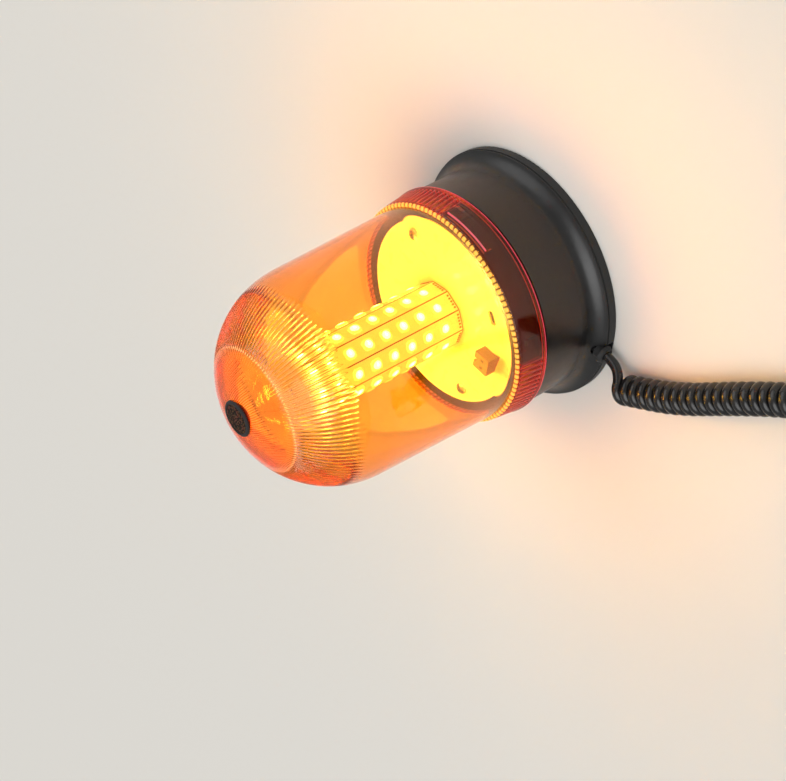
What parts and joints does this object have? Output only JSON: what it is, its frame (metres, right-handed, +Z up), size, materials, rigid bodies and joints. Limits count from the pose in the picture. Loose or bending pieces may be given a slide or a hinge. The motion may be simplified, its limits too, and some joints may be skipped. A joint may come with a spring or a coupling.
{
  "type": "led warning beacon",
  "caption": "Magnetic LED warning beacon: round black base, amber twist-off dome lens over a column of LEDs, and a curly lead with a vehicle accessory plug.",
  "frame": {"origin": "centre of the underside of the magnetic foot, on the surface that it stands on", "axes": "+Z up along the axis of the lamp and lens; the lead leaves the housing along -X"},
  "size_m": [0.378, 0.1597, 0.1751],
  "materials": {
    "black_rubber": "moulded, matt",
    "black_abs": "moulded, semi-gloss",
    "zinc_steel": "zinc plated",
    "ferrite": "sintered, matt",
    "amber_polycarbonate": "moulded, clear amber, polished",
    "vent_rubber": "moulded, matt",
    "vent_foam": "open-cell foam",
    "white_board": "white solder mask, glossy",
    "strip_board": "white solder mask, glossy",
    "white_plastic": "moulded",
    "led_package": "white package with a yellow lens",
    "header_nylon": "moulded nylon",
    "tinned_brass": "tin plated",
    "capacitor_can": "sleeved can",
    "chip_epoxy": "moulded epoxy",
    "cord_jacket": "extruded, glossy",
    "wire_insulation": "extruded",
    "plug_plastic": "moulded, fine texture",
    "nickel_brass": "nickel plated",
    "fuse_glass": "clear",
    "spring_steel": "drawn wire",
    "rocker_plastic": "moulded, glossy",
    "button_plastic": "moulded, glossy",
    "status_lens": "clear red"
  },
  "bodies": {
    "base": {"base_housing": "black_abs", "board_screws": "zinc_steel", "cable_clamp": "white_plastic", "clamp_screws": "zinc_steel", "controller_chip": "chip_epoxy", "cord_coil": "cord_jacket", "cord_gland": "black_rubber", "cord_lead": "cord_jacket", "cord_tail": "cord_jacket", "fuse_spring": "spring_steel", "header_housing": "header_nylon", "header_pins": "tinned_brass", "inner_cable": "cord_jacket", "led_strip_01": "strip_board", "led_strip_02": "strip_board", "led_strip_03": "strip_board", "led_strip_04": "strip_board", "led_strip_05": "strip_board", "led_strip_06": "strip_board", "led_strip_07": "strip_board", "led_strip_08": "strip_board", "led_strip_09": "strip_board", "led_strip_10": "strip_board", "lens_seal": "black_rubber", "magnet_nut": "zinc_steel", "magnet_ring": "ferrite", "magnet_screw": "zinc_steel", "main_board": "white_board", "plug_board": "white_board", "plug_boot": "black_rubber", "plug_lower_shell": "plug_plastic", "plug_screws": "zinc_steel", "plug_upper_shell": "plug_plastic", "power_choke": "ferrite", "power_transistors": "chip_epoxy", "rubber_foot": "black_rubber", "spring_seat": "nickel_brass", "status_lens": "status_lens", "steel_cup": "zinc_steel", "storage_capacitor": "capacitor_can", "strip_leds": "led_package", "supply_wires": "wire_insulation", "tower_cap": "white_plastic", "tower_core": "white_plastic", "tower_screws": "zinc_steel"},
    "lens": {"lens": "amber_polycarbonate", "vent_plug": "vent_rubber", "vent_foam": "vent_foam"},
    "nose_cap": {"plug_nose_cap": "plug_plastic"},
    "tip_contact": {"tip_pin": "nickel_brass", "plug_fuse": "fuse_glass"},
    "left_contact": {"side_contact_left": "nickel_brass"},
    "right_contact": {"side_contact_right": "nickel_brass"},
    "rocker": {"power_rocker": "rocker_plastic"},
    "button": {"mode_button": "button_plastic"}
  },
  "joints": [
    {"name": "lens_twist", "type": "hinge", "parent": "base", "child": "lens", "pos_m": [0, 0, 0], "axis": [0, 0, 1], "range_deg": [0, 28]},
    {"name": "nose_cap_screw", "type": "hinge", "parent": "base", "child": "nose_cap", "pos_m": [-0.3, -0.066, 0.013], "axis": [0, -1, 0], "continuous": true},
    {"name": "tip_press", "type": "slide", "parent": "base", "child": "tip_contact", "axis": [0, 1, 0], "range_m": [0, 0.003], "stiffness_N_per_m": 600, "springref_m": -0.004, "deforming": ["fuse_spring"]},
    {"name": "left_contact_press", "type": "slide", "parent": "base", "child": "left_contact", "axis": [-1, 0, 0], "range_m": [0, 0.0009], "stiffness_N_per_m": 900, "springref_m": -0.001},
    {"name": "right_contact_press", "type": "slide", "parent": "base", "child": "right_contact", "axis": [1, 0, 0], "range_m": [0, 0.0009], "stiffness_N_per_m": 900, "springref_m": -0.001},
    {"name": "power_rocker_tilt", "type": "hinge", "parent": "base", "child": "rocker", "pos_m": [-0.3, -0.012, 0.023], "axis": [1, 0, 0], "range_deg": [-9, 0]},
    {"name": "mode_button_press", "type": "slide", "parent": "base", "child": "button", "axis": [0, 0, -1], "range_m": [0, 0.0008], "stiffness_N_per_m": 500, "springref_m": -0.001}
  ]
}
